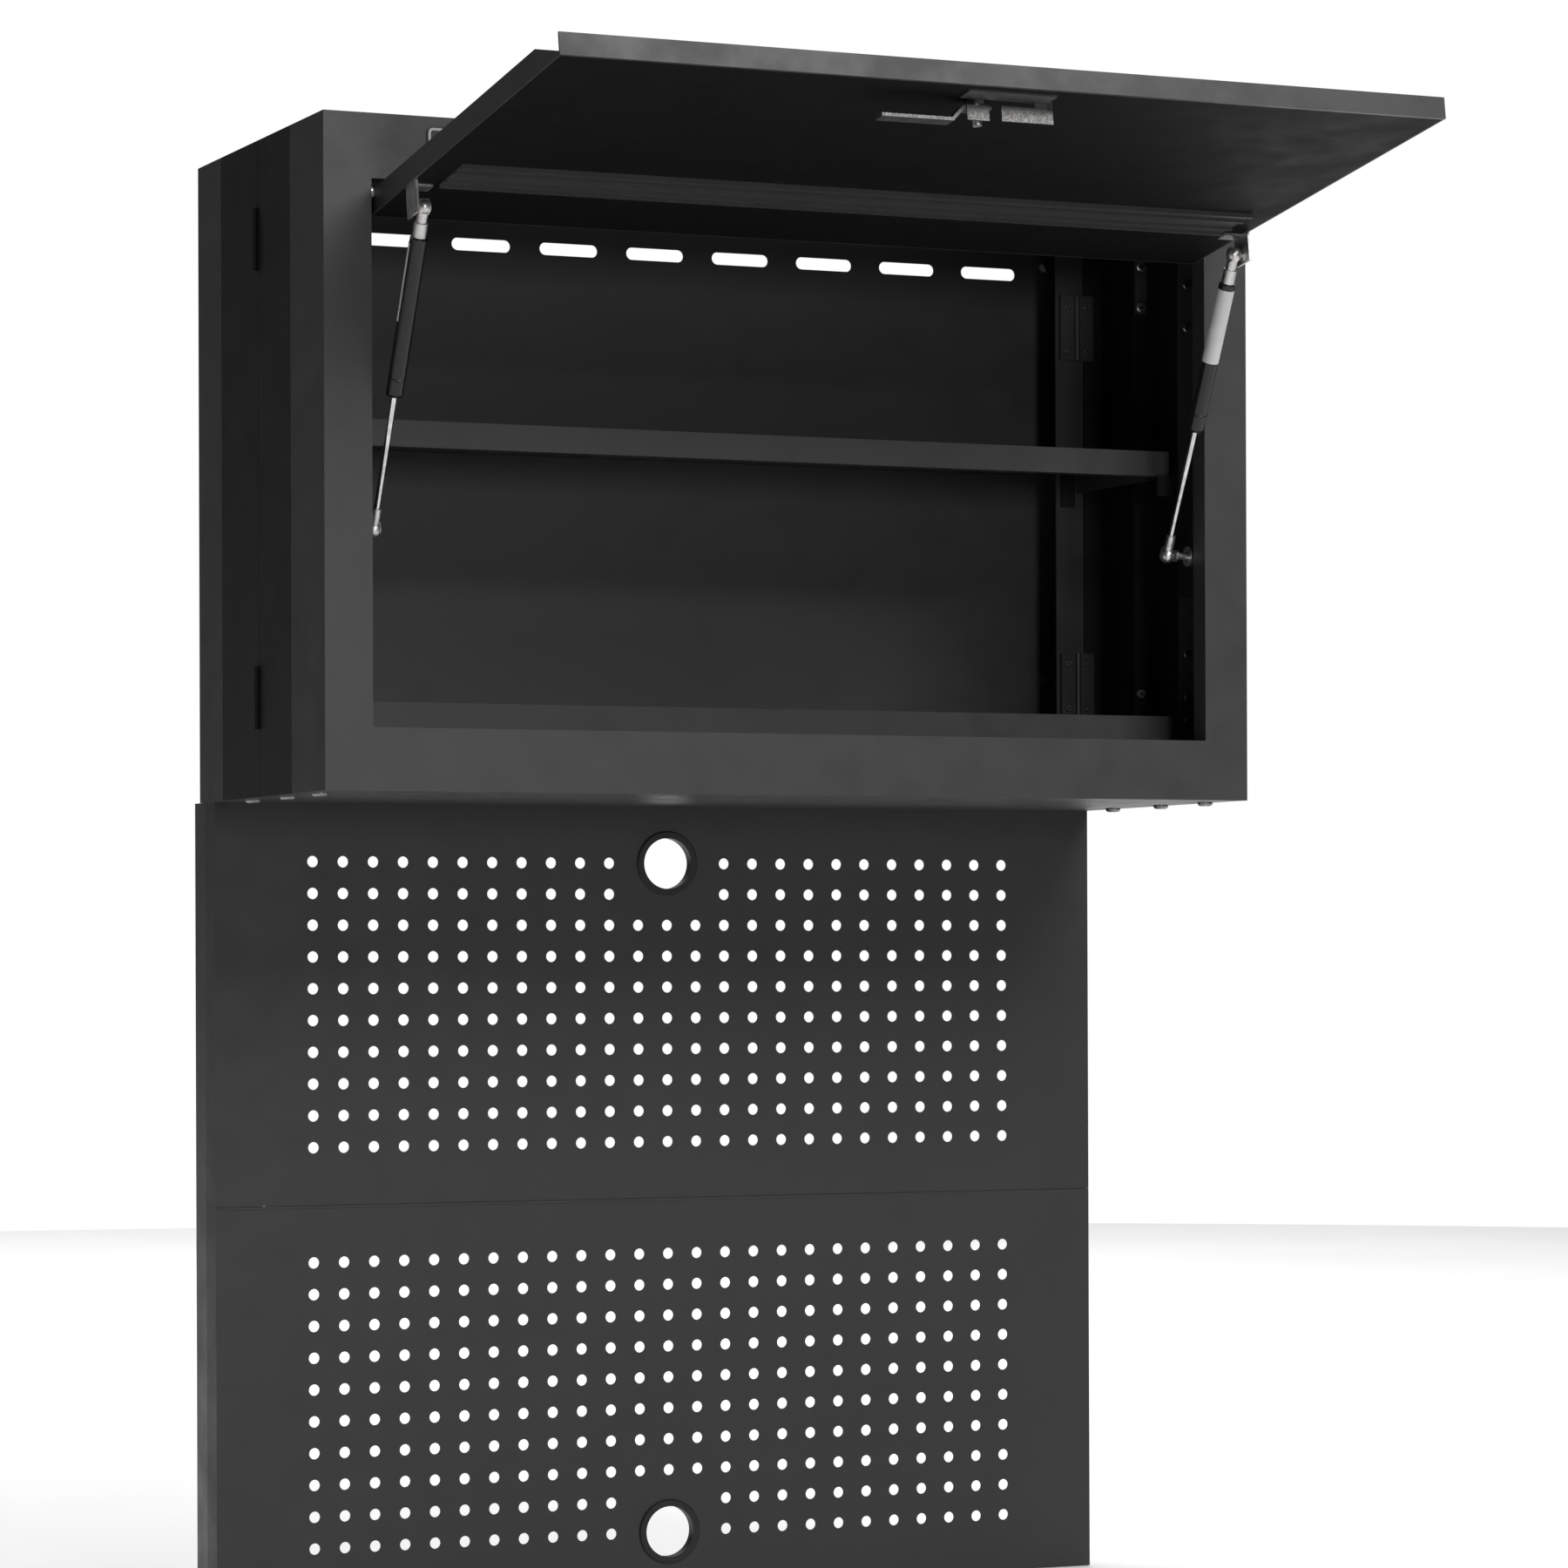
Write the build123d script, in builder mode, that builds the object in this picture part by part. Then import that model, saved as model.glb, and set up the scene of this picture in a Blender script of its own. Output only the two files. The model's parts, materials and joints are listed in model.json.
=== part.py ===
"""Steel overhead cabinet with a lift-up door, on two pegboard panels and a pair of uprights.

Frame: X to the viewer's right, Y to the back, Z up, in millimetres.  The origin is the centre of the
foot bolt pattern, in the plane that the feet stand on.  The door is drawn open, as it rests.
"""
from build123d import *
from math import atan2, cos, degrees, hypot, radians, sin
import os

os.makedirs("parts", exist_ok=True)

# ---- driving dimensions ----
SHEET = 1.5                     # cabinet sheet
SIDES = (-1, 1)                 # left and right

PANEL_W = 760.0                 # pegboard panels
PANEL_H = 316.4
PANEL_GAP = 0.2
PANEL_FRONT = -26.0
PANEL_BACK = -1.0
PEG_PITCH = 25.0
PEG_R = 4.5
PEG_COLUMNS = 12                # each side of the middle column
PEG_ROWS = 10
PEG_EDGE = 46.25                # panel edge to the first row
GROMMET_R = 20.5                # cable hole
GROMMET_FLANGE_R = 26.0

UPRIGHT_IN = 334.0              # uprights, distances from the centre plane
UPRIGHT_OUT = 380.0
UPRIGHT_BACK = 26.0
UPRIGHT_TOP = 633.0
UPRIGHT_SHEET = 2.0
FOOT_T = 3.0
FOOT_BOLT_X = 350.0
FOOT_BOLT_Y = 14.0
FOOT_BOLT_R = 4.5
POST_IN = 340.0                 # hanger posts behind the cabinet
POST_OUT = 374.0
POST_TOP = 1115.0

HALF_W = 382.0                  # cabinet
FRONT = -306.0
STILE_BACK = -226.0
MID_JOINT = -147.5
REAR_JOINT = -55.0
BACK = 6.0
BOTTOM = 633.0
TOP = 1131.25
JOINT_GAP = 0.3
FLANGE_IN = 363.0
TRAY_FLANGE_IN = 338.0
TRAY_FLANGE_OUT = 362.5
WALL_FACE = -4.5                # front face of the back wall
OPEN_HALF_W = 345.0             # front opening
OPEN_LOW = 679.75
OPEN_HIGH = 1083.25
REVEAL = 20.0                   # depth of the opening's turned edges
SLOT_PITCH = 75.0
SLOT_L = 50.0
SLOT_W = 10.0
SLOT_Z = 1082.25
SHELF_Z = 915.75
SHELF_LIP = 20.0
SHELF_FRONT = -220.0
SHELF_HALF_W = 358.0

HINGE_Y = -298.0                # door hinge line
HINGE_Z = 1073.75
DOOR_TILT = 8.2                 # degrees above level when open
DOOR_HALF_W = 341.8
DOOR_LEN = 391.0
DOOR_BEHIND = -7.0
DOOR_OUT = 2.0                  # outer and inner faces, from the hinge line
DOOR_IN = -16.0
DOOR_SHEET = 1.3
PULL_START = 345.0              # finger pull ramp along the free edge
PULL_END = 389.0
PULL_DEPTH = -13.0
LATCH_X = -17.5
LATCH_S = 355.0

STRUT_X = 331.2                 # gas struts
STRUT_S = 80.0
STRUT_N = -32.7
LOW_BALL_Y = -267.6
LOW_BALL_Z = 828.05
STRUT_R = 6.5
ROD_R = 2.2
SOCKET_L = 23.0
TUBE_END = 145.0
ROD_START = 128.0
ROD_END = 235.0

# ---- planes that follow the open door and the struts ----
tilt = radians(DOOR_TILT)
along_door = Vector(0, -cos(tilt), sin(tilt))
out_of_door = Vector(0, sin(tilt), cos(tilt))
hinge_line = Vector(0, HINGE_Y, HINGE_Z)
door_plane = Plane(origin=hinge_line, x_dir=(1, 0, 0), z_dir=out_of_door)
cross_plane = Plane(origin=hinge_line, x_dir=(1, 0, 0), z_dir=along_door)
profile_plane = Plane(origin=hinge_line, x_dir=along_door, z_dir=(1, 0, 0))
profile_sign = 1 if profile_plane.y_dir.dot(out_of_door) > 0 else -1

high_ball = hinge_line + along_door * STRUT_S + out_of_door * STRUT_N
strut_y = LOW_BALL_Y - high_ball.Y
strut_z = LOW_BALL_Z - high_ball.Z
STRUT_LEN = hypot(strut_y, strut_z)


def strut_plane(side):
    """Origin at the upper ball, local Z down the strut."""
    return Plane(origin=(side * STRUT_X, high_ball.Y, high_ball.Z), x_dir=(1, 0, 0),
                 z_dir=(0, strut_y, strut_z))


# ---- shared drawing helpers, each used inside a part block ----
def slab(x0, x1, y0, y1, z0, z1, mode=Mode.ADD):
    """A block between two corners."""
    with Locations(((x0 + x1) / 2, (y0 + y1) / 2, (z0 + z1) / 2)):
        Box(abs(x1 - x0), abs(y1 - y0), abs(z1 - z0), mode=mode)


def door_slab(x0, x1, s0, s1, n0, n1, mode=Mode.ADD):
    """A block on the door: s runs from the hinge line to the free edge, n out of its face."""
    slab(x0, x1, -s1, -s0, n0, n1, mode)


def rod_x(x0, x1, y, z, r, mode=Mode.ADD):
    """A cylinder along X."""
    with Locations(((x0 + x1) / 2, y, z)):
        Cylinder(r, abs(x1 - x0), rotation=(0, 90, 0), mode=mode)


def rod_y(x, y0, y1, z, r, mode=Mode.ADD):
    """A cylinder along Y."""
    with Locations((x, (y0 + y1) / 2, z)):
        Cylinder(r, abs(y1 - y0), rotation=(90, 0, 0), mode=mode)


def rod_z(x, y, z0, z1, r, mode=Mode.ADD):
    """A cylinder along Z."""
    with Locations((x, y, (z0 + z1) / 2)):
        Cylinder(r, abs(z1 - z0), mode=mode)


def save(part, name):
    """Label a finished piece and write it."""
    part.label = name
    export_step(part, f"parts/{name}.step")


def side_name(side):
    return "left" if side < 0 else "right"


# ---- pegboard panels and their cable grommets ----
def peg_points(z_edge, step):
    """Hole centres, leaving out the middle three of the two rows beside the grommet."""
    points = []
    for row in range(PEG_ROWS):
        z = z_edge + step * (PEG_EDGE + row * PEG_PITCH)
        for column in range(-PEG_COLUMNS, PEG_COLUMNS + 1):
            if row > 1 or abs(column) > 1:
                points.append((column * PEG_PITCH, z))
    return points


def pegboard(name, z0, grommet_edge, step):
    """A tray with its face to the front and its four edges turned back."""
    z1 = z0 + PANEL_H
    half = PANEL_W / 2
    with BuildPart() as panel:
        with BuildSketch(Plane.XZ.offset(-PANEL_FRONT)):
            with Locations((0, (z0 + z1) / 2)):
                Rectangle(PANEL_W, PANEL_H)
            with Locations(*peg_points(grommet_edge, step)):
                Circle(PEG_R, mode=Mode.SUBTRACT)
            with Locations((0, grommet_edge + step * PEG_EDGE)):
                Circle(GROMMET_R + SHEET, mode=Mode.SUBTRACT)
        extrude(amount=-SHEET)
        for side in SIDES:
            slab(side * half, side * (half - SHEET), PANEL_FRONT, PANEL_BACK, z0, z1)
        # the horizontal returns stop short of the feet
        for z in (z0, z1 - SHEET):
            slab(2 - UPRIGHT_IN, UPRIGHT_IN - 2, PANEL_FRONT, PANEL_BACK, z, z + SHEET)
    save(panel.part, name)


def grommet(name, z):
    """A moulded ring that lines the cable hole."""
    with BuildPart() as ring:
        rod_y(0, PANEL_FRONT - 2, PANEL_FRONT, z, GROMMET_FLANGE_R)
        rod_y(0, PANEL_FRONT, PANEL_FRONT + 8, z, GROMMET_R + SHEET)
        chamfer(ring.faces().sort_by(Axis.Y)[0].edges(), 0.8)
        rod_y(0, PANEL_FRONT - 3, PANEL_FRONT + 9, z, GROMMET_R, Mode.SUBTRACT)
    save(ring.part, name)


upper_z0 = PANEL_H + PANEL_GAP
upper_z1 = upper_z0 + PANEL_H
pegboard("lower_panel", 0, 0, 1)
pegboard("upper_panel", upper_z0, upper_z1, -1)
grommet("lower_grommet", PEG_EDGE)
grommet("upper_grommet", upper_z1 - PEG_EDGE)

# ---- uprights, feet and hanger posts ----
for side in SIDES:
    with BuildPart() as upright:
        slab(side * UPRIGHT_IN, side * UPRIGHT_OUT, PANEL_BACK, UPRIGHT_BACK, FOOT_T, UPRIGHT_TOP)
        slab(side * (UPRIGHT_IN - 1), side * (UPRIGHT_OUT - UPRIGHT_SHEET), PANEL_BACK + UPRIGHT_SHEET,
             UPRIGHT_BACK - UPRIGHT_SHEET, FOOT_T, UPRIGHT_TOP, Mode.SUBTRACT)
    save(upright.part, f"{side_name(side)}_upright")

    with BuildPart() as foot:
        slab(side * UPRIGHT_IN, side * (UPRIGHT_OUT - SHEET), PANEL_FRONT + SHEET, UPRIGHT_BACK, 0, FOOT_T)
        for y in (-FOOT_BOLT_Y, FOOT_BOLT_Y):
            rod_z(side * FOOT_BOLT_X, y, -1, FOOT_T + 1, FOOT_BOLT_R, Mode.SUBTRACT)
    save(foot.part, f"{side_name(side)}_foot")

BOLT_X = 355.0
BACK_BOLT_Z = (741.75, 1091.75)
post_front = PANEL_BACK + UPRIGHT_SHEET
post_back = UPRIGHT_BACK - UPRIGHT_SHEET
post_foot = 500.0
for side in SIDES:
    with BuildPart() as post:
        slab(side * POST_IN, side * POST_OUT, post_front, post_back, post_foot, POST_TOP)
        slab(side * (POST_IN + 2), side * (POST_OUT - 2), post_front + 2, post_back - 2, post_foot,
             POST_TOP, Mode.SUBTRACT)
        for z in BACK_BOLT_Z:
            rod_y(side * BOLT_X, post_front - 1, post_front + 3, z, 4.0, Mode.SUBTRACT)
    save(post.part, f"{side_name(side)}_hanger_post")

with BuildPart() as back_bolts:
    for side in SIDES:
        for z in BACK_BOLT_Z:
            rod_y(side * BOLT_X, WALL_FACE - 1.2, WALL_FACE, z, 9.0)
            with BuildSketch(Plane.XZ.offset(-WALL_FACE + 1.2)):
                with Locations((side * BOLT_X, z)):
                    RegularPolygon(6.5, 6)
            extrude(amount=4.5)
            rod_y(side * BOLT_X, WALL_FACE - 1, post_front + 4, z, 3.9)
            rod_y(side * BOLT_X, WALL_FACE + SHEET, post_front, z, 9.0)
save(back_bolts.part, "back_bolts")

# ---- cabinet box: rear tray, folding side halves, top and bottom ----
floor_z = BOTTOM + SHEET
ceiling_z = TOP - SHEET
with BuildPart() as rear_tray:
    slab(SHEET - HALF_W, HALF_W - SHEET, WALL_FACE, WALL_FACE + SHEET, floor_z, ceiling_z)
    for side in SIDES:
        slab(side * (HALF_W - SHEET), side * HALF_W, REAR_JOINT + JOINT_GAP, BACK, BOTTOM, TOP)
        slab(side * TRAY_FLANGE_IN, side * (HALF_W - SHEET), REAR_JOINT + JOINT_GAP,
             REAR_JOINT + JOINT_GAP + SHEET, floor_z, ceiling_z)
        for z in BACK_BOLT_Z:
            rod_y(side * BOLT_X, WALL_FACE - 1, WALL_FACE + SHEET + 1, z, 4.0, Mode.SUBTRACT)
    with BuildSketch(Plane.XZ.offset(-WALL_FACE + 1)):
        with Locations(*[(i * SLOT_PITCH, SLOT_Z) for i in range(-4, 5)]):
            SlotOverall(SLOT_L, SLOT_W)
    extrude(amount=-SHEET - 2, mode=Mode.SUBTRACT)
save(rear_tray.part, "rear_tray")


def side_half(name, side, y_front, y_back):
    """A side wall with its front and rear edges turned in."""
    y0 = y_front + JOINT_GAP
    y1 = y_back - JOINT_GAP
    with BuildPart() as half:
        slab(side * (HALF_W - SHEET), side * HALF_W, y0, y1, BOTTOM, TOP)
        for y in (y0, y1 - SHEET):
            slab(side * FLANGE_IN, side * (HALF_W - SHEET), y, y + SHEET, floor_z, ceiling_z)
    save(half.part, name)


for side in SIDES:
    side_half(f"{side_name(side)}_front_side", side, STILE_BACK, MID_JOINT)
    side_half(f"{side_name(side)}_rear_side", side, MID_JOINT, REAR_JOINT)

BOTTOM_LIP_Z = 702.75
TOP_LIP_Z = 1095.0
with BuildPart() as bottom_panel:
    slab(SHEET - HALF_W, HALF_W - SHEET, STILE_BACK + JOINT_GAP, WALL_FACE + SHEET, BOTTOM, floor_z)
    lip_half = FLANGE_IN - JOINT_GAP
    lip_y = STILE_BACK + JOINT_GAP
    slab(-lip_half, lip_half, lip_y, lip_y + SHEET, floor_z, BOTTOM_LIP_Z)
    slab(-lip_half, lip_half, lip_y, lip_y + 10, BOTTOM_LIP_Z - SHEET, BOTTOM_LIP_Z)
save(bottom_panel.part, "bottom_panel")

with BuildPart() as top_panel:
    slab(SHEET - HALF_W, HALF_W - SHEET, STILE_BACK + JOINT_GAP, WALL_FACE + SHEET, ceiling_z, TOP)
    slab(-lip_half, lip_half, lip_y, lip_y + SHEET, TOP_LIP_Z, ceiling_z)
save(top_panel.part, "top_panel")

# ---- front frame ----
for side in SIDES:
    with BuildPart() as stile:
        slab(side * OPEN_HALF_W, side * HALF_W, FRONT, FRONT + SHEET, BOTTOM, TOP)
        slab(side * (HALF_W - SHEET), side * HALF_W, FRONT, STILE_BACK - JOINT_GAP, BOTTOM, TOP)
        slab(side * OPEN_HALF_W, side * (OPEN_HALF_W + SHEET), FRONT, FRONT + REVEAL, BOTTOM, TOP)
        slab(side * FLANGE_IN, side * (HALF_W - SHEET), STILE_BACK - JOINT_GAP - SHEET,
             STILE_BACK - JOINT_GAP, BOTTOM, TOP)
        for z in (BOTTOM, ceiling_z):
            slab(side * OPEN_HALF_W, side * HALF_W, FRONT, STILE_BACK - JOINT_GAP, z, z + SHEET)
        rod_x(side * (OPEN_HALF_W - 1), side * (OPEN_HALF_W + 3), HINGE_Y, HINGE_Z, 3.3, Mode.SUBTRACT)
    save(stile.part, f"{side_name(side)}_stile")


def rail(name, z0, z1, edge_z, outer_z):
    """A rail between the stiles: a turned edge at the opening and a deep return outside."""
    with BuildPart() as bar:
        slab(-OPEN_HALF_W, OPEN_HALF_W, FRONT, FRONT + SHEET, z0, z1)
        slab(-OPEN_HALF_W, OPEN_HALF_W, FRONT, FRONT + REVEAL, edge_z, edge_z + SHEET)
        slab(-OPEN_HALF_W, OPEN_HALF_W, FRONT, STILE_BACK - JOINT_GAP, outer_z, outer_z + SHEET)
    save(bar.part, name)


rail("bottom_rail", BOTTOM, OPEN_LOW, OPEN_LOW - SHEET, BOTTOM)
rail("top_rail", OPEN_HIGH, TOP, OPEN_HIGH, ceiling_z)

BADGE_X = -302.0
BADGE_W = 62.0
BADGE_TOP = 1123.75
BADGE_H = 26.0
with BuildPart() as badge:
    with BuildSketch(Plane.XZ.offset(-FRONT)):
        with Locations((BADGE_X + BADGE_W / 2, BADGE_TOP - BADGE_H / 2)):
            RectangleRounded(BADGE_W, BADGE_H, 4)
    extrude(amount=1.0)
save(badge.part, "badge")

# ---- shelf and its clips ----
deck_z = SHELF_Z - SHEET
tray_front = REAR_JOINT - 1
with BuildPart() as shelf:
    slab(-SHELF_HALF_W, SHELF_HALF_W, SHELF_FRONT, tray_front, deck_z, SHELF_Z)
    slab(2 - TRAY_FLANGE_IN, TRAY_FLANGE_IN - 2, tray_front, WALL_FACE, deck_z, SHELF_Z)
    slab(-SHELF_HALF_W, SHELF_HALF_W, SHELF_FRONT, SHELF_FRONT + SHEET, SHELF_Z - SHELF_LIP, SHELF_Z)
    slab(-SHELF_HALF_W, SHELF_HALF_W, SHELF_FRONT, SHELF_FRONT + 12, SHELF_Z - SHELF_LIP,
         SHELF_Z - SHELF_LIP + SHEET)
    for side in SIDES:
        slab(side * (SHELF_HALF_W - SHEET), side * SHELF_HALF_W, SHELF_FRONT, tray_front,
             SHELF_Z - SHELF_LIP, SHELF_Z)
save(shelf.part, "shelf")

side_front_face = STILE_BACK + JOINT_GAP
rear_clip_y = REAR_JOINT + JOINT_GAP
with BuildPart() as shelf_clips:
    for side in SIDES:
        slab(side * 342, side * 355, rear_clip_y - SHEET, rear_clip_y, 884, deck_z)
        slab(side * 342, side * 355, rear_clip_y - 16, rear_clip_y, deck_z - SHEET, deck_z)
        clip_z = SHELF_Z - SHELF_LIP
        clip_y = side_front_face + SHEET
        slab(side * 345, side * 378, clip_y, clip_y + SHEET, clip_z - 16, clip_z)
        slab(side * 345, side * 378, clip_y, clip_y + 22, clip_z - SHEET, clip_z)
save(shelf_clips.part, "shelf_clips")

# ---- fold hinges, lock plates and the cabinet's own screws ----
REAR_HINGE_Z = (735.75, 1033.25)
REAR_HINGE_X = 356.0
MID_HINGE_Z = (708.0, 1055.75)
hinge_face = REAR_JOINT - JOINT_GAP - SHEET
with BuildPart() as rear_hinges:
    for side in SIDES:
        for z in REAR_HINGE_Z:
            slab(side * 341, side * 353, hinge_face - SHEET, rear_clip_y, z - 27, z + 27)
            slab(side * 353, side * 359, hinge_face - SHEET, hinge_face, z - 27, z + 27)
            slab(side * 359, side * 371, hinge_face - SHEET, hinge_face, z - 27, z + 27)
            rod_z(side * REAR_HINGE_X, hinge_face - SHEET, z - 27, z + 27, 2.6)
save(rear_hinges.part, "rear_hinges")

with BuildPart() as mid_hinges:
    for side in SIDES:
        for z in MID_HINGE_Z:
            slab(side * HALF_W, side * (HALF_W + 0.6), MID_JOINT - 3, MID_JOINT + 3, z - 24, z + 24)
            rod_z(side * (HALF_W + 1.9), MID_JOINT, z - 24, z + 24, 1.9)
save(mid_hinges.part, "mid_hinges")

LOCK_PLATE_Z = (1034.75, 1083.75)
lock_face = MID_JOINT - JOINT_GAP - SHEET
with BuildPart() as lock_plates:
    for side in SIDES:
        slab(side * (FLANGE_IN + 0.5), side * (FLANGE_IN + 10.5), lock_face - 2, lock_face, *LOCK_PLATE_Z)
save(lock_plates.part, "lock_plates")


def pan_heads(name, places, r, height):
    """A group of pan-head screws whose heads stand forward of a face."""
    with BuildPart() as heads:
        for x, y, z in places:
            with Locations((x, y - height / 2, z)):
                Cylinder(r, height, rotation=(90, 0, 0))
        fronts = heads.faces().filter_by(Axis.Y).sort_by(Axis.Y)[:len(places)]
        chamfer([edge for face in fronts for edge in face.edges()], height * 0.4)
    save(heads.part, name)


lock_screws = []
hinge_screws = []
flange_screws = []
for side in SIDES:
    lock_screws += [(side * 368, lock_face - 2, z) for z in (1040.25, 1073.75)]
    lock_screws += [(side * 368, lock_face, 724.75)]
    for centre in REAR_HINGE_Z:
        for z in (centre - 18.5, centre + 18.5):
            hinge_screws += [(side * x, hinge_face - SHEET, z) for x in (347, 365)]
    flange_face = STILE_BACK - JOINT_GAP - SHEET
    flange_screws += [(side * 370, flange_face, z)
                      for z in (699.25, 718.35, 752.75, 896.75, 1015.25, 1049.75, 1079.35)]
pan_heads("lock_screws", lock_screws, 4.0, 2.0)
pan_heads("hinge_screws", hinge_screws, 3.0, 1.4)
pan_heads("flange_screws", flange_screws, 3.4, 1.6)

with BuildPart() as underside_bolts:
    for side in SIDES:
        for y in (-94, -180, -257):
            rod_z(side * 370, y, BOTTOM - 3.2, BOTTOM, 6)
    low_faces = underside_bolts.faces().filter_by(Axis.Z).sort_by(Axis.Z)[:6]
    fillet([edge for face in low_faces for edge in face.edges()], 2.4)
save(underside_bolts.part, "underside_bolts")

# ---- door ----
def door_profile(points):
    """A closed outline in the door's own s and n."""
    outline = [(s, profile_sign * n) for s, n in points]
    if profile_sign > 0:
        outline.reverse()
    Polygon(*outline, align=None)


with BuildPart() as door_skin:
    with BuildSketch(profile_plane):
        door_profile([(DOOR_BEHIND, DOOR_IN), (DOOR_LEN, DOOR_IN), (DOOR_LEN, 0), (PULL_END, 0),
                      (PULL_END, PULL_DEPTH), (PULL_START, DOOR_OUT), (DOOR_BEHIND, DOOR_OUT)])
    extrude(amount=DOOR_HALF_W, both=True)
    cavity_s0 = DOOR_BEHIND + DOOR_SHEET
    cavity_s1 = PULL_END - 1
    with BuildSketch(profile_plane):
        door_profile([(cavity_s0, DOOR_IN - 1), (cavity_s1, DOOR_IN - 1),
                      (cavity_s1, PULL_DEPTH - DOOR_SHEET), (PULL_START - 0.4, DOOR_OUT - DOOR_SHEET),
                      (cavity_s0, DOOR_OUT - DOOR_SHEET)])
    extrude(amount=DOOR_HALF_W - DOOR_SHEET, both=True, mode=Mode.SUBTRACT)
    for side in SIDES:
        rod_x(side * (DOOR_HALF_W - 5), side * (DOOR_HALF_W + 5), HINGE_Y, HINGE_Z, 3.0, Mode.SUBTRACT)
    with BuildSketch(door_plane.offset(-12)):
        with Locations((LATCH_X, -LATCH_S)):
            Circle(10)
    extrude(amount=20, mode=Mode.SUBTRACT)
save(door_skin.part, "door_skin")

with BuildPart(door_plane) as door_liner:
    inner_half = DOOR_HALF_W - DOOR_SHEET
    door_slab(-inner_half, inner_half, cavity_s0, cavity_s1, DOOR_IN, DOOR_IN + DOOR_SHEET)
    rod_z(LATCH_X, -LATCH_S, DOOR_IN - 1, DOOR_IN + 3, 4.6, Mode.SUBTRACT)
save(door_liner.part, "door_liner")

with BuildPart(door_plane) as door_stiffener:
    door_slab(-320, 320, 83, 135, DOOR_IN - 1.2, DOOR_IN)
    for s in (83, 98, 118, 132):
        door_slab(-320, 320, s, s + 3, DOOR_IN - 3.4, DOOR_IN)
save(door_stiffener.part, "door_stiffener")

with BuildPart() as pivot_pins:
    for side in SIDES:
        rod_x(side * (DOOR_HALF_W - 4), side * (OPEN_HALF_W + 5), HINGE_Y, HINGE_Z, 3.0)
        rod_x(side * DOOR_HALF_W, side * (OPEN_HALF_W - 0.4), HINGE_Y, HINGE_Z, 4.6)
save(pivot_pins.part, "pivot_pins")

# ---- door latch ----
with BuildPart(door_plane) as lock_barrel:
    rod_z(LATCH_X, -LATCH_S, -10, 2.5, 10)
    rod_z(LATCH_X, -LATCH_S, -20, -10, 4.6)
    rod_z(LATCH_X, -LATCH_S, -21, -13, 3.3, Mode.SUBTRACT)
    rod_z(LATCH_X, -LATCH_S, 1.9, 3, 6.5, Mode.SUBTRACT)
    door_slab(LATCH_X - 0.9, LATCH_X + 0.9, LATCH_S - 4, LATCH_S + 4, 0.5, 3, Mode.SUBTRACT)
save(lock_barrel.part, "lock_barrel")

with BuildPart(door_plane) as lock_nut:
    with BuildSketch(door_plane.offset(DOOR_IN)):
        with Locations((LATCH_X, -LATCH_S)):
            RegularPolygon(6.9, 6)
            Circle(4.6, mode=Mode.SUBTRACT)
    extrude(amount=-3.5)
save(lock_nut.part, "lock_nut")

with BuildPart(door_plane) as latch_bracket:
    door_slab(-34, 34, 364, 381, DOOR_IN - 1.5, DOOR_IN)
    door_slab(-2, 38, 362.5, 364, -32, -21)
    door_slab(24, 38, 362.5, 364, -21, DOOR_IN)
    door_slab(24, 34, 362.5, 365, DOOR_IN - 1.5, DOOR_IN)
save(latch_bracket.part, "latch_bracket")

with BuildPart() as latch_lever:
    with BuildSketch(cross_plane.offset(LATCH_S - 6)):
        with BuildLine():
            Polyline((-8, -21), (-30, -21), (-39, -30.6), (-93, -30.6), (-93, -33), (-38, -33),
                     (-29, -23.4), (-8, -23.4), close=True)
        make_face()
    extrude(amount=12)
    with BuildSketch(cross_plane.offset(LATCH_S + 6)):
        with Locations((-19.5, -26.5)):
            Rectangle(17, 11)
    extrude(amount=SHEET)
    with BuildSketch(door_plane.offset(-36)):
        with Locations((LATCH_X, -LATCH_S)):
            Circle(3.0)
    extrude(amount=20, mode=Mode.SUBTRACT)
save(latch_lever.part, "latch_lever")

with BuildPart(door_plane) as latch_spindle:
    rod_z(LATCH_X, -LATCH_S, -27, -14, 3.0)
    rod_z(LATCH_X, -LATCH_S, -27, -23.4, 5.2)
    rod_z(LATCH_X, -LATCH_S, -34, -27, 3.4)
save(latch_spindle.part, "latch_spindle")

# ---- gas struts ----
with BuildPart(door_plane) as upper_brackets:
    web_x = STRUT_X + 7.2
    for side in SIDES:
        door_slab(side * web_x, side * (web_x + 1.8), STRUT_S - 11, STRUT_S + 11, STRUT_N - 7, DOOR_IN)
        door_slab(side * (web_x - 15), side * web_x, STRUT_S - 11, STRUT_S + 1, DOOR_IN - 1.8, DOOR_IN)
        rod_x(side * (STRUT_X - 2), side * web_x, -STRUT_S, STRUT_N, 2.5)
        rod_x(side * (web_x - 0.8), side * web_x, -STRUT_S, STRUT_N, 4.5)
save(upper_brackets.part, "upper_brackets")

BRACKET_X = 351.5
with BuildPart() as strut_brackets:
    for side in SIDES:
        slab(side * BRACKET_X, side * (BRACKET_X + 2), FRONT + SHEET, LOW_BALL_Y + 20, 796, 862)
        slab(side * BRACKET_X, side * 378, FRONT + SHEET, FRONT + SHEET + 2, 796, 862)
save(strut_brackets.part, "strut_brackets")

with BuildPart() as lower_studs:
    for side in SIDES:
        rod_x(side * (BRACKET_X - 2.4), side * BRACKET_X, LOW_BALL_Y, LOW_BALL_Z, 8)
        rod_x(side * (STRUT_X + 6.5), side * (BRACKET_X - 2.4), LOW_BALL_Y, LOW_BALL_Z, 3)
        rod_x(side * (STRUT_X + 6.5), side * (STRUT_X + 8.5), LOW_BALL_Y, LOW_BALL_Z, 4.6)
save(lower_studs.part, "lower_studs")

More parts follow.
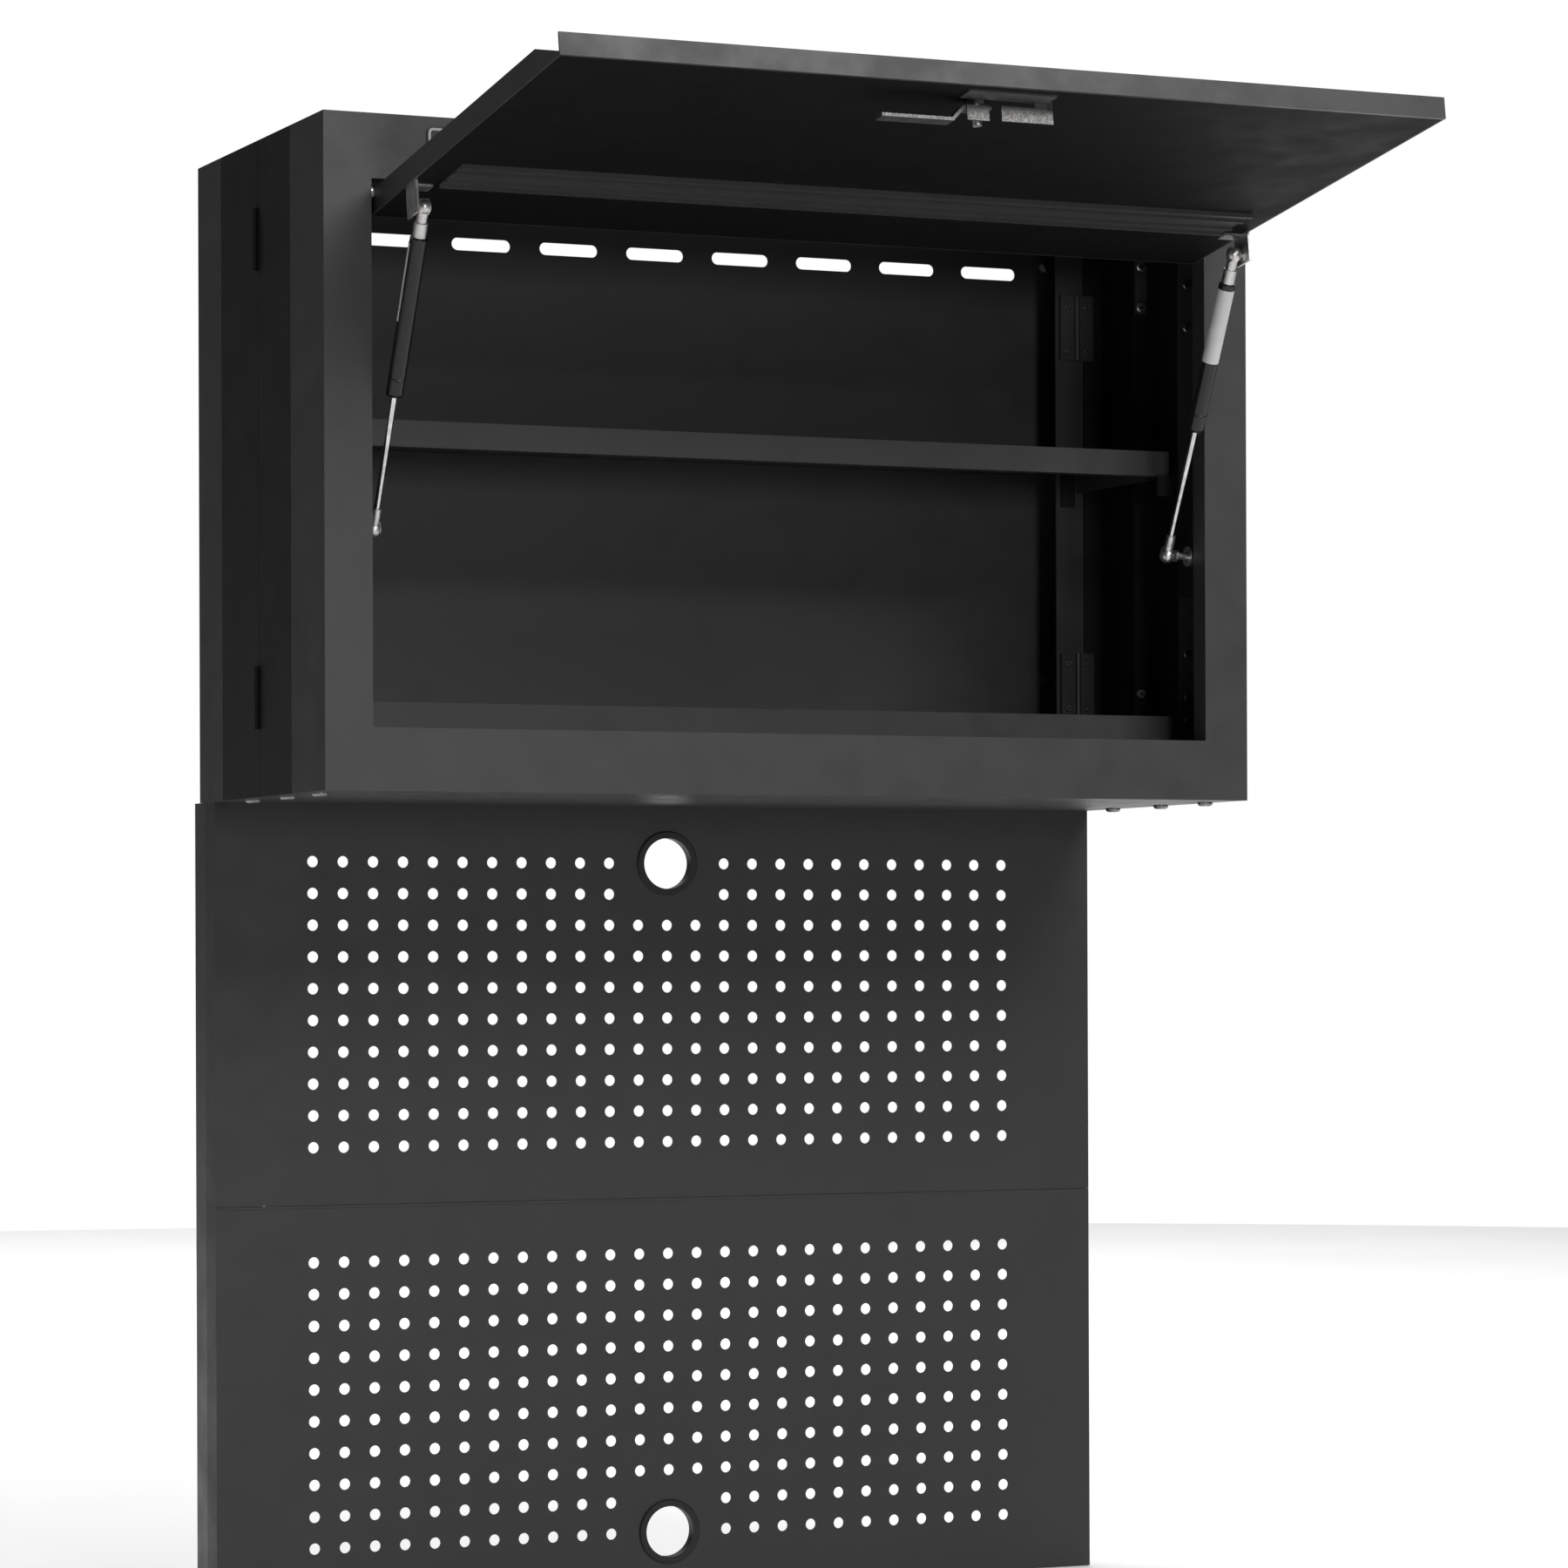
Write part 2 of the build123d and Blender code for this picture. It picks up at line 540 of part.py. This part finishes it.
LABEL_SPAN = (28, 88)
LABEL_TURN = {-1: 172, 1: 45}           # where each blank label starts round its tube, in degrees
CAP_L = 4.0
for side in SIDES:
    where = side_name(side)
    plane = strut_plane(side)
    with BuildPart(plane) as socket:
        Sphere(6.0)
        rod_z(0, 0, 0, 14, 4.2)
        rod_z(0, 0, 12, SOCKET_L, 5.2)
        with Locations((side * 3, 0, 0)):
            Cylinder(2.8, 12, rotation=(0, 90, 0), mode=Mode.SUBTRACT)
    save(socket.part, f"{where}_upper_socket")

    with BuildPart(plane) as cylinder:
        rod_z(0, 0, SOCKET_L, TUBE_END, STRUT_R)
        chamfer(cylinder.edges().filter_by(GeomType.CIRCLE), 1.2)
        rod_z(0, 0, SOCKET_L + CAP_L, TUBE_END - CAP_L, STRUT_R - 1.3, Mode.SUBTRACT)
        rod_z(0, 0, TUBE_END - CAP_L - 1, TUBE_END + 1, ROD_R + 0.3, Mode.SUBTRACT)
    save(cylinder.part, f"{where}_cylinder")

    with BuildPart(plane) as label:
        middle = sum(LABEL_SPAN) / 2
        with Locations(Location((0, 0, middle), (0, 0, LABEL_TURN[side]))):
            Cylinder(STRUT_R + 0.35, LABEL_SPAN[1] - LABEL_SPAN[0], arc_size=150,
                     align=(Align.NONE, Align.NONE, Align.CENTER))
        rod_z(0, 0, LABEL_SPAN[0] - 1, LABEL_SPAN[1] + 1, STRUT_R, Mode.SUBTRACT)
    save(label.part, f"{where}_label")

    with BuildPart(plane) as rod:
        rod_z(0, 0, ROD_START, ROD_END, ROD_R)
        rod_z(0, 0, ROD_START, ROD_START + 8, STRUT_R - 1.6)
    save(rod.part, f"{where}_rod")

    with BuildPart(plane) as low_socket:
        with Locations((0, 0, STRUT_LEN)):
            Sphere(6.0)
        rod_z(0, 0, ROD_END, STRUT_LEN, 3.6)
    save(low_socket.part, f"{where}_lower_socket")

# ---- motion figures, printed for the record ----
closed_z = HINGE_Z - STRUT_S - LOW_BALL_Z
closed_y = HINGE_Y - STRUT_N - LOW_BALL_Y
open_angle = degrees(atan2(-strut_z, -strut_y))
closed_angle = degrees(atan2(closed_z, closed_y))
print("strut open", round(STRUT_LEN, 3), "closed", round(hypot(closed_y, closed_z), 3))
print("strut turns", round(closed_angle - open_angle, 3), "deg while the door turns", 90 + DOOR_TILT)
print("upper ball", [round(v, 3) for v in (high_ball.X, high_ball.Y, high_ball.Z)])
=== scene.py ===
"""Looks for the overhead cabinet: powder-coated steel, zinc fittings, gas struts, studio light."""
import json
import math

import bmesh
import bpy
from mathutils import Matrix, Vector


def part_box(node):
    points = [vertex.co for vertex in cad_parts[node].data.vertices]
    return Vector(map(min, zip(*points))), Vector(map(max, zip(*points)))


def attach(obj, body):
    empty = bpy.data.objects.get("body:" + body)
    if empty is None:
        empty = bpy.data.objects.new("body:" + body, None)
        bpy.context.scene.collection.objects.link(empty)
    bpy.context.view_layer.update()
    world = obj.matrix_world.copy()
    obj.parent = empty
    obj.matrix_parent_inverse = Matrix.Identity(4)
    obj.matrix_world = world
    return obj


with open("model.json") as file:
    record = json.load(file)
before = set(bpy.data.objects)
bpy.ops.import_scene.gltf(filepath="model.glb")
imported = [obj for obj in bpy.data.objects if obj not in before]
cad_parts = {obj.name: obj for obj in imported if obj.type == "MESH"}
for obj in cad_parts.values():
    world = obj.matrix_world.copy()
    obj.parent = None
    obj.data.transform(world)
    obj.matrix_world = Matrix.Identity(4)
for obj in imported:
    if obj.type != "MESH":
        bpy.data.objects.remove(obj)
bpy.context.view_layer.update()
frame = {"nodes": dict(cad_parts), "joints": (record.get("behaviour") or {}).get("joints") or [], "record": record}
nodes = frame["nodes"]
joints = {joint["name"]: joint for joint in frame["joints"]}
slots = {row["node"]: row["material_slot"] for row in frame["record"]["subparts"]}
MM = 0.001
WHITE = (1, 1, 1, 1)
EVEN = (1, 1, 1)                # noise that isn't stretched along any axis

# ---- camera: a long lens from the left, at the height of the upper peg panel ----
CAMERA_PLACE = (-1.6064, -4.008, 0.4994)
CAMERA_TURN = (90.116, 0.204, -24.366)
CAMERA_LENS = 121.67
CAMERA_SENSOR = 36
CAMERA_SHIFT = (-0.067, 0.1122)
CAMERA_REACH = 100

camera_data = bpy.data.cameras.new("camera")
camera_data.lens = CAMERA_LENS
camera_data.sensor_width = CAMERA_SENSOR
camera_data.shift_x, camera_data.shift_y = CAMERA_SHIFT
camera_data.clip_end = CAMERA_REACH
camera = bpy.data.objects.new("camera", camera_data)
camera.location = CAMERA_PLACE
camera.rotation_euler = [math.radians(angle) for angle in CAMERA_TURN]
bpy.context.scene.collection.objects.link(camera)
bpy.context.scene.camera = camera
bpy.context.scene.view_settings.view_transform = "Standard"

# ---- lights and world ----
LIGHTS = (                      # name, place, the point it aims at, side in metres, power in watts
    ("key", (1.0, -3.7, 3.1), (0, 0, 0.75), 1.8, 92),
    ("fill", (-0.3, -4.8, 0.85), (0.1, 0, 0.8), 0.6, 34),
    ("overhead", (0.6, 3.2, 4.2), (0.6, 3.4, 0), 5.0, 260),
)
WORLD_LIGHT = 0.055             # faint light on the object from all round
WORLD_SEEN = 1.0                # how bright that white looks behind the object


def area_light(name, place, target, size, power):
    """A soft square light aimed at a point."""
    data = bpy.data.lights.new(name, "AREA")
    data.size = size
    data.energy = power
    lamp = bpy.data.objects.new(name, data)
    lamp.location = place
    lamp.rotation_euler = (Vector(target) - Vector(place)).to_track_quat("-Z", "Y").to_euler()
    bpy.context.scene.collection.objects.link(lamp)


def background(tree, strength):
    """Plain white of one strength."""
    node = tree.nodes.new("ShaderNodeBackground")
    node.inputs["Color"].default_value = WHITE
    node.inputs["Strength"].default_value = strength
    return node.outputs[0]


def studio_world():
    """White all round, brighter to the camera's own rays than as light."""
    world = bpy.data.worlds.new("studio")
    world.use_nodes = True
    bpy.context.scene.world = world
    tree = world.node_tree
    tree.nodes.clear()
    output = tree.nodes.new("ShaderNodeOutputWorld")
    mix = tree.nodes.new("ShaderNodeMixShader")
    ray = tree.nodes.new("ShaderNodeLightPath")
    tree.links.new(ray.outputs["Is Camera Ray"], mix.inputs[0])
    tree.links.new(background(tree, WORLD_LIGHT), mix.inputs[1])
    tree.links.new(background(tree, WORLD_SEEN), mix.inputs[2])
    tree.links.new(mix.outputs[0], output.inputs[0])


for light in LIGHTS:
    area_light(*light)
studio_world()

# ---- material helpers ----
RAMP_START = 0.35               # the noise values that get a ramp's two colours
RAMP_END = 0.65


def shader(name, rough, metallic=0.0, specular=0.5):
    """A new material and its main shader node."""
    material = bpy.data.materials.new(name)
    material.use_nodes = True
    main = material.node_tree.nodes["Principled BSDF"]
    main.inputs["Roughness"].default_value = rough
    main.inputs["Metallic"].default_value = metallic
    main.inputs["Specular IOR Level"].default_value = specular
    return material, main


def noise(material, scale, detail, stretch=EVEN):
    """Noise in the object's own metres, stretched along an axis where asked."""
    tree = material.node_tree
    place = tree.nodes.new("ShaderNodeTexCoord")
    mapping = tree.nodes.new("ShaderNodeMapping")
    mapping.inputs["Scale"].default_value = stretch
    texture = tree.nodes.new("ShaderNodeTexNoise")
    texture.inputs["Scale"].default_value = scale
    texture.inputs["Detail"].default_value = detail
    tree.links.new(place.outputs["Object"], mapping.inputs["Vector"])
    tree.links.new(mapping.outputs["Vector"], texture.inputs["Vector"])
    return texture.outputs["Fac"]


def ramp(material, source, low, high):
    """A colour ramp between two colours."""
    node = material.node_tree.nodes.new("ShaderNodeValToRGB")
    first, last = node.color_ramp.elements
    first.position = RAMP_START
    first.color = (*low, 1)
    last.position = RAMP_END
    last.color = (*high, 1)
    material.node_tree.links.new(source, node.inputs["Fac"])
    return node.outputs["Color"]


def bump(material, main, source, strength, distance):
    """Fine relief from a height."""
    node = material.node_tree.nodes.new("ShaderNodeBump")
    node.inputs["Strength"].default_value = strength
    node.inputs["Distance"].default_value = distance
    material.node_tree.links.new(source, node.inputs["Height"])
    material.node_tree.links.new(node.outputs["Normal"], main.inputs["Normal"])


def grey(value, warmth=0.0):
    """A grey, a little warmer where asked."""
    return (value * (1 + warmth), value, value * (1 - warmth))


def powder_coat(name, tone, rough, specular=0.45):
    """Satin powder coat: orange-peel relief, faint cloudiness, and slightly uneven gloss."""
    material, main = shader(name, rough, specular=specular)
    links = material.node_tree.links
    cloud = noise(material, scale=9, detail=4)
    gloss = noise(material, scale=30, detail=4)
    peel = noise(material, scale=900, detail=2)
    links.new(ramp(material, cloud, grey(tone * 0.96), grey(tone * 1.05)), main.inputs["Base Color"])
    links.new(ramp(material, gloss, grey(rough - 0.05), grey(rough + 0.06)), main.inputs["Roughness"])
    bump(material, main, peel, strength=0.16, distance=0.4 * MM)
    return material


def plated(name, tone, rough, stretch=EVEN):
    """Bright metal: a fine grain in its gloss, drawn out where stretched, and duller patches."""
    material, main = shader(name, rough, metallic=1.0)
    links = material.node_tree.links
    patches = noise(material, scale=160, detail=4)
    grain = noise(material, scale=700, detail=3, stretch=stretch)
    links.new(ramp(material, patches, grey(tone * 0.72, 0.02), grey(tone, 0.01)),
              main.inputs["Base Color"])
    links.new(ramp(material, grain, grey(rough - 0.08), grey(rough + 0.12)), main.inputs["Roughness"])
    bump(material, main, grain, strength=0.08, distance=0.1 * MM)
    return material


def moulded(name, tone, rough, specular=0.4):
    """Moulded plastic or film with a fine spark grain."""
    material, main = shader(name, rough, specular=specular)
    clouds = noise(material, scale=60, detail=4)
    grain = noise(material, scale=1600, detail=2)
    material.node_tree.links.new(ramp(material, clouds, grey(tone * 0.9), grey(tone)),
                                 main.inputs["Base Color"])
    bump(material, main, grain, strength=0.15, distance=0.2 * MM)
    return material


# ---- materials: one for each slot, and special finishes or painted shade for some nodes ----
materials = {
    "black_steel": powder_coat("cabinet_powder_coat", tone=0.042, rough=0.44),
    "panel_steel": powder_coat("panel_powder_coat", tone=0.024, rough=0.52),
    "black_plastic": moulded("grommet_plastic", tone=0.010, rough=0.5),
    "zinc": plated("zinc_plate", tone=0.74, rough=0.38),
    "chrome_rod": plated("polished_rod", tone=0.82, rough=0.14, stretch=(0.1, 1, 1)),
    "strut_paint": powder_coat("strut_gloss_black", tone=0.012, rough=0.24),
    "blank_label": moulded("blank_film", tone=0.62, rough=0.45),
    "badge": moulded("badge_face", tone=0.014, rough=0.35),
}
recess_black = moulded("recess_shadow", tone=0.006, rough=0.7)
finishes_and_painted_shade = (
    # painted shade: the cabinet's powder coat made far darker and less glossy for the side panels, shelf clips,
    # mid hinges and strut brackets, standing in for the shade they lie in
    (powder_coat("side_steel_painted_shade", tone=0.008, rough=0.56, specular=0.25),
     ("left_front_side", "left_rear_side", "right_front_side", "right_rear_side", "shelf_clips",
      "mid_hinges", "strut_brackets")),
    # painted shade: the cabinet's powder coat made far darker and almost without reflection for the door's inner
    # liner, standing in for the shade under the door
    (powder_coat("door_liner_painted_shade", tone=0.007, rough=0.6, specular=0.08), ("door_liner",)),
    (plated("blackened_screw", tone=0.3, rough=0.36),
     ("back_bolts", "underside_bolts", "flange_screws", "hinge_screws")),
    (plated("dull_zinc", tone=0.2, rough=0.46), ("latch_lever", "latch_bracket", "lock_nut")),
)
finish_or_painted_shade_of = {name: material for material, names in finishes_and_painted_shade for name in names}

for name, node in nodes.items():
    node.data.materials.clear()
    node.data.materials.append(finish_or_painted_shade_of.get(name, materials[slots[name]]))

# ---- every folded sheet and moulding has a small radius along its edges ----
FOLD_RADIUS = 0.55 * MM
FOLD_SEGMENTS = 2
FOLD_ANGLE = 40                 # edges that turn by more degrees than this are rounded
FOLDED_SLOTS = ("black_steel", "panel_steel", "zinc", "black_plastic")

for name, node in nodes.items():
    if slots[name] in FOLDED_SLOTS:
        fold = node.modifiers.new("fold_radius", "BEVEL")
        fold.width = FOLD_RADIUS
        fold.segments = FOLD_SEGMENTS
        fold.limit_method = "ANGLE"
        fold.angle_limit = math.radians(FOLD_ANGLE)
        fold.use_clamp_overlap = True


# ---- mesh helpers for the small pieces that the frame doesn't carry ----
def add_piece(name, mesh_maker, body, material):
    """A mesh piece made by a bmesh function, riding on a body."""
    mesh = bpy.data.meshes.new(name)
    work = bmesh.new()
    mesh_maker(work)
    bmesh.ops.recalc_face_normals(work, faces=work.faces)
    work.to_mesh(mesh)
    work.free()
    piece = bpy.data.objects.new(name, mesh)
    bpy.context.scene.collection.objects.link(piece)
    mesh.materials.append(material)
    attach(piece, body)


def islands(node):
    """The lowest and highest corners of each separate solid in a node."""
    work = bmesh.new()
    work.from_mesh(node.data)
    bmesh.ops.remove_doubles(work, verts=work.verts, dist=1e-6)
    seen = set()
    boxes = []
    for start in work.verts:
        if start in seen:
            continue
        stack = [start]
        group = []
        seen.add(start)
        while stack:
            vertex = stack.pop()
            group.append(vertex.co.copy())
            for edge in vertex.link_edges:
                other = edge.other_vert(vertex)
                if other not in seen:
                    seen.add(other)
                    stack.append(other)
        low = Vector([min(point[i] for point in group) for i in range(3)])
        high = Vector([max(point[i] for point in group) for i in range(3)])
        boxes.append((low, high))
    work.free()
    return boxes


def bridge(work, first, second):
    """Faces between two closed loops of the same number of points."""
    count = len(first)
    for i in range(count):
        after = (i + 1) % count
        work.faces.new((first[i], second[i], second[after], first[after]))


def closed_bar(work, front, back):
    """A closed solid between two end loops."""
    work.faces.new(front)
    work.faces.new(back[::-1])
    bridge(work, front, back)


def lathe(work, profile, matrix, steps=40):
    """A closed ring turned about local Z from (radius, height) points."""
    rings = []
    for step in range(steps):
        angle = 2 * math.pi * step / steps
        rings.append([work.verts.new(matrix @ Vector((r * math.cos(angle), r * math.sin(angle), z)))
                      for r, z in profile])
    for step in range(steps):
        bridge(work, rings[step], rings[(step + 1) % steps])


def ring_profile(radius, height, thick, wide, steps=10):
    """A rounded section for a ring: its middle, then half its thickness and half its width."""
    return [(radius + thick * math.cos(2 * math.pi * i / steps),
             height + wide * math.sin(2 * math.pi * i / steps)) for i in range(steps)]


# ---- cross recesses on the screw heads ----
CROSS_ARM = 0.55                # half its length, as a share of the head's radius
CROSS_HALF = 0.13               # half its arm's width, likewise
CROSS_PROUD = 0.05 * MM         # how far its dark face stands in front of the head
CROSS_DEPTH = 0.3 * MM
CROSS_SWEEP = 200               # degrees: a cross is turned by its height, by up to this much,
CROSS_REPEAT = 0.1              # in a pattern that starts again every 0.1 m


def cross_outline(arm, half):
    """A plus sign."""
    quarter = [(half, half), (half, arm), (-half, arm)]
    points = []
    for turn in range(4):
        angle = math.radians(90 * turn)
        for x, z in quarter:
            points.append((x * math.cos(angle) - z * math.sin(angle),
                           x * math.sin(angle) + z * math.cos(angle)))
    return points


def driver_crosses(node_name):
    """Dark cross recesses on a group's screw heads."""
    def make(work):
        for low, high in islands(nodes[node_name]):
            radius = (high.x - low.x) / 2
            centre = (low + high) / 2
            angle = math.radians(CROSS_SWEEP * (centre.z % CROSS_REPEAT) / CROSS_REPEAT)
            place = Matrix.Translation((centre.x, low.y - CROSS_PROUD, centre.z))
            place = place @ Matrix.Rotation(angle, 4, "Y")
            outline = cross_outline(radius * CROSS_ARM, radius * CROSS_HALF)
            front = [work.verts.new(place @ Vector((x, 0, z))) for x, z in outline]
            back = [work.verts.new(place @ Vector((x, CROSS_DEPTH, z))) for x, z in outline]
            closed_bar(work, front, back)
    add_piece(f"{node_name}_crosses", make, "root", recess_black)


for group in ("lock_screws", "hinge_screws", "flange_screws"):
    driver_crosses(group)

# ---- raised border on the blank badge ----
BORDER_INSET = 1 * MM           # from the badge's edge
BORDER_LINE = 1.8 * MM
BORDER_HEIGHT = 0.3 * MM
BORDER_OUTER_R = 3.5 * MM
BORDER_INNER_R = 1.8 * MM


def rounded_outline(width, height, radius, steps=6):
    """A rectangle with round corners, about its own middle."""
    points = []
    for turn, (sx, sz) in enumerate(((1, 1), (-1, 1), (-1, -1), (1, -1))):
        for step in range(steps + 1):
            angle = math.radians(90 * turn + 90 * step / steps)
            points.append((sx * (width / 2 - radius) + radius * math.cos(angle),
                           sz * (height / 2 - radius) + radius * math.sin(angle)))
    return points


def badge_border(work):
    """A raised frame round the blank badge."""
    low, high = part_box("badge")
    middle = (Vector(low) + Vector(high)) / 2
    width = high[0] - low[0] - 2 * BORDER_INSET
    height = high[2] - low[2] - 2 * BORDER_INSET
    outer = rounded_outline(width, height, BORDER_OUTER_R)
    inner = rounded_outline(width - 2 * BORDER_LINE, height - 2 * BORDER_LINE, BORDER_INNER_R)
    face = low[1] - BORDER_HEIGHT
    rings = []
    for outline, y in ((outer, low[1]), (outer, face), (inner, face), (inner, low[1])):
        rings.append([work.verts.new((middle.x + x, y, middle.z + z)) for x, z in outline])
    for i, ring in enumerate(rings):
        bridge(work, ring, rings[(i + 1) % len(rings)])


add_piece("badge_border", badge_border, "root", materials["blank_label"])

# ---- rolled upper edge of the lower panel ----
BEAD_R = 1.3 * MM
BEAD_BEHIND = 0.55              # its middle is this many radii behind the panel's face,
BEAD_BELOW = 1.2                # and this many below its top
BEAD_INSET = 1 * MM             # from the panel's ends
BEAD_STEPS = 14


def panel_fold(work):
    """A round bead along the panel's upper edge, which stands a little proud of its face."""
    low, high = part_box("lower_panel")
    section = ring_profile(low[1] + BEAD_R * BEAD_BEHIND, high[2] - BEAD_R * BEAD_BELOW,
                           BEAD_R, BEAD_R, BEAD_STEPS)
    left = [work.verts.new((low[0] + BEAD_INSET, y, z)) for y, z in section]
    right = [work.verts.new((high[0] - BEAD_INSET, y, z)) for y, z in section]
    closed_bar(work, left, right)


add_piece("lower_panel_fold", panel_fold, "root", materials["panel_steel"])

# ---- gas strut trim: rings on the tube, and the sockets' wire clips ----
TUBE_R = 6.5 * MM
STRUT_RINGS = (                 # radius, distance from the upper ball, half thickness, half width
    (TUBE_R, 132 * MM, 0.45 * MM, 0.9 * MM),                # crimp in the tube
    (TUBE_R - 1.2 * MM, 145.2 * MM, 1.0 * MM, 0.8 * MM),    # wiper where the rod comes out
    (TUBE_R - 0.8 * MM, 24.2 * MM, 0.9 * MM, 0.9 * MM),     # lip at the tube's upper end
)
CLIP_R = 5.5 * MM
CLIP_WIRE_R = 0.6 * MM
CLIP_OFFSET = 3.2 * MM          # from the ball, towards the cabinet's middle
CLIP_SECTION_STEPS = 8
CLIP_STEPS = 32
LOWER_CLIP_PAST = 4.5 * MM      # beyond the middle of the lower socket


def strut_rings(stand):
    """A maker for one tube's rings."""
    def make(work):
        for radius, height, thick, wide in STRUT_RINGS:
            lathe(work, ring_profile(radius, height, thick, wide), stand)
    return make


def wire_clip(stand, offset):
    """A maker for the wire clip round one socket."""
    def make(work):
        wire = ring_profile(CLIP_R, offset, CLIP_WIRE_R, CLIP_WIRE_R, CLIP_SECTION_STEPS)
        lathe(work, wire, stand, CLIP_STEPS)
    return make


for side, where in ((-1, "left"), (1, "right")):
    ball = Vector(joints[f"{where}_strut_turn"]["pos_m"])
    down = -Vector(joints[f"{where}_strut_stroke"]["axis"]).normalized()
    along_strut = Matrix.Translation(ball) @ down.to_track_quat("Z", "X").to_matrix().to_4x4()
    add_piece(f"{where}_strut_rings", strut_rings(along_strut), f"{where}_strut",
              materials["strut_paint"])

    socket_low, socket_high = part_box(f"{where}_lower_socket")
    socket_middle = (Vector(socket_low) + Vector(socket_high)) / 2
    lower_clip_at = (socket_middle - ball).dot(down) + LOWER_CLIP_PAST
    clips = (("upper", 0.0, f"{where}_strut"), ("lower", lower_clip_at, f"{where}_piston"))
    for end, distance, body in clips:
        across = Matrix.Translation(ball + down * distance) @ Matrix.Rotation(math.radians(90), 4, "Y")
        add_piece(f"{where}_{end}_clip", wire_clip(across, -side * CLIP_OFFSET), body,
                  materials["zinc"])

# ---- floor: a pale disc just under the feet ----
FLOOR_RADIUS = 4.5
FLOOR_SIDES = 96
FLOOR_PLACE = (0.6, 1.6, -0.5 * MM)
FLOOR_GLOW = 0.28

floor_material, floor_main = shader("pale_floor", rough=0.7)
floor_tone = ramp(floor_material, noise(floor_material, scale=2, detail=3), grey(0.86), grey(0.9))
floor_material.node_tree.links.new(floor_tone, floor_main.inputs["Base Color"])
floor_main.inputs["Emission Color"].default_value = WHITE
floor_main.inputs["Emission Strength"].default_value = FLOOR_GLOW

floor_work = bmesh.new()
bmesh.ops.create_circle(floor_work, cap_ends=True, segments=FLOOR_SIDES, radius=FLOOR_RADIUS)
floor_mesh = bpy.data.meshes.new("floor")
floor_work.to_mesh(floor_mesh)
floor_work.free()
floor_mesh.materials.append(floor_material)
floor = bpy.data.objects.new("floor", floor_mesh)
floor.location = FLOOR_PLACE
bpy.context.scene.collection.objects.link(floor)
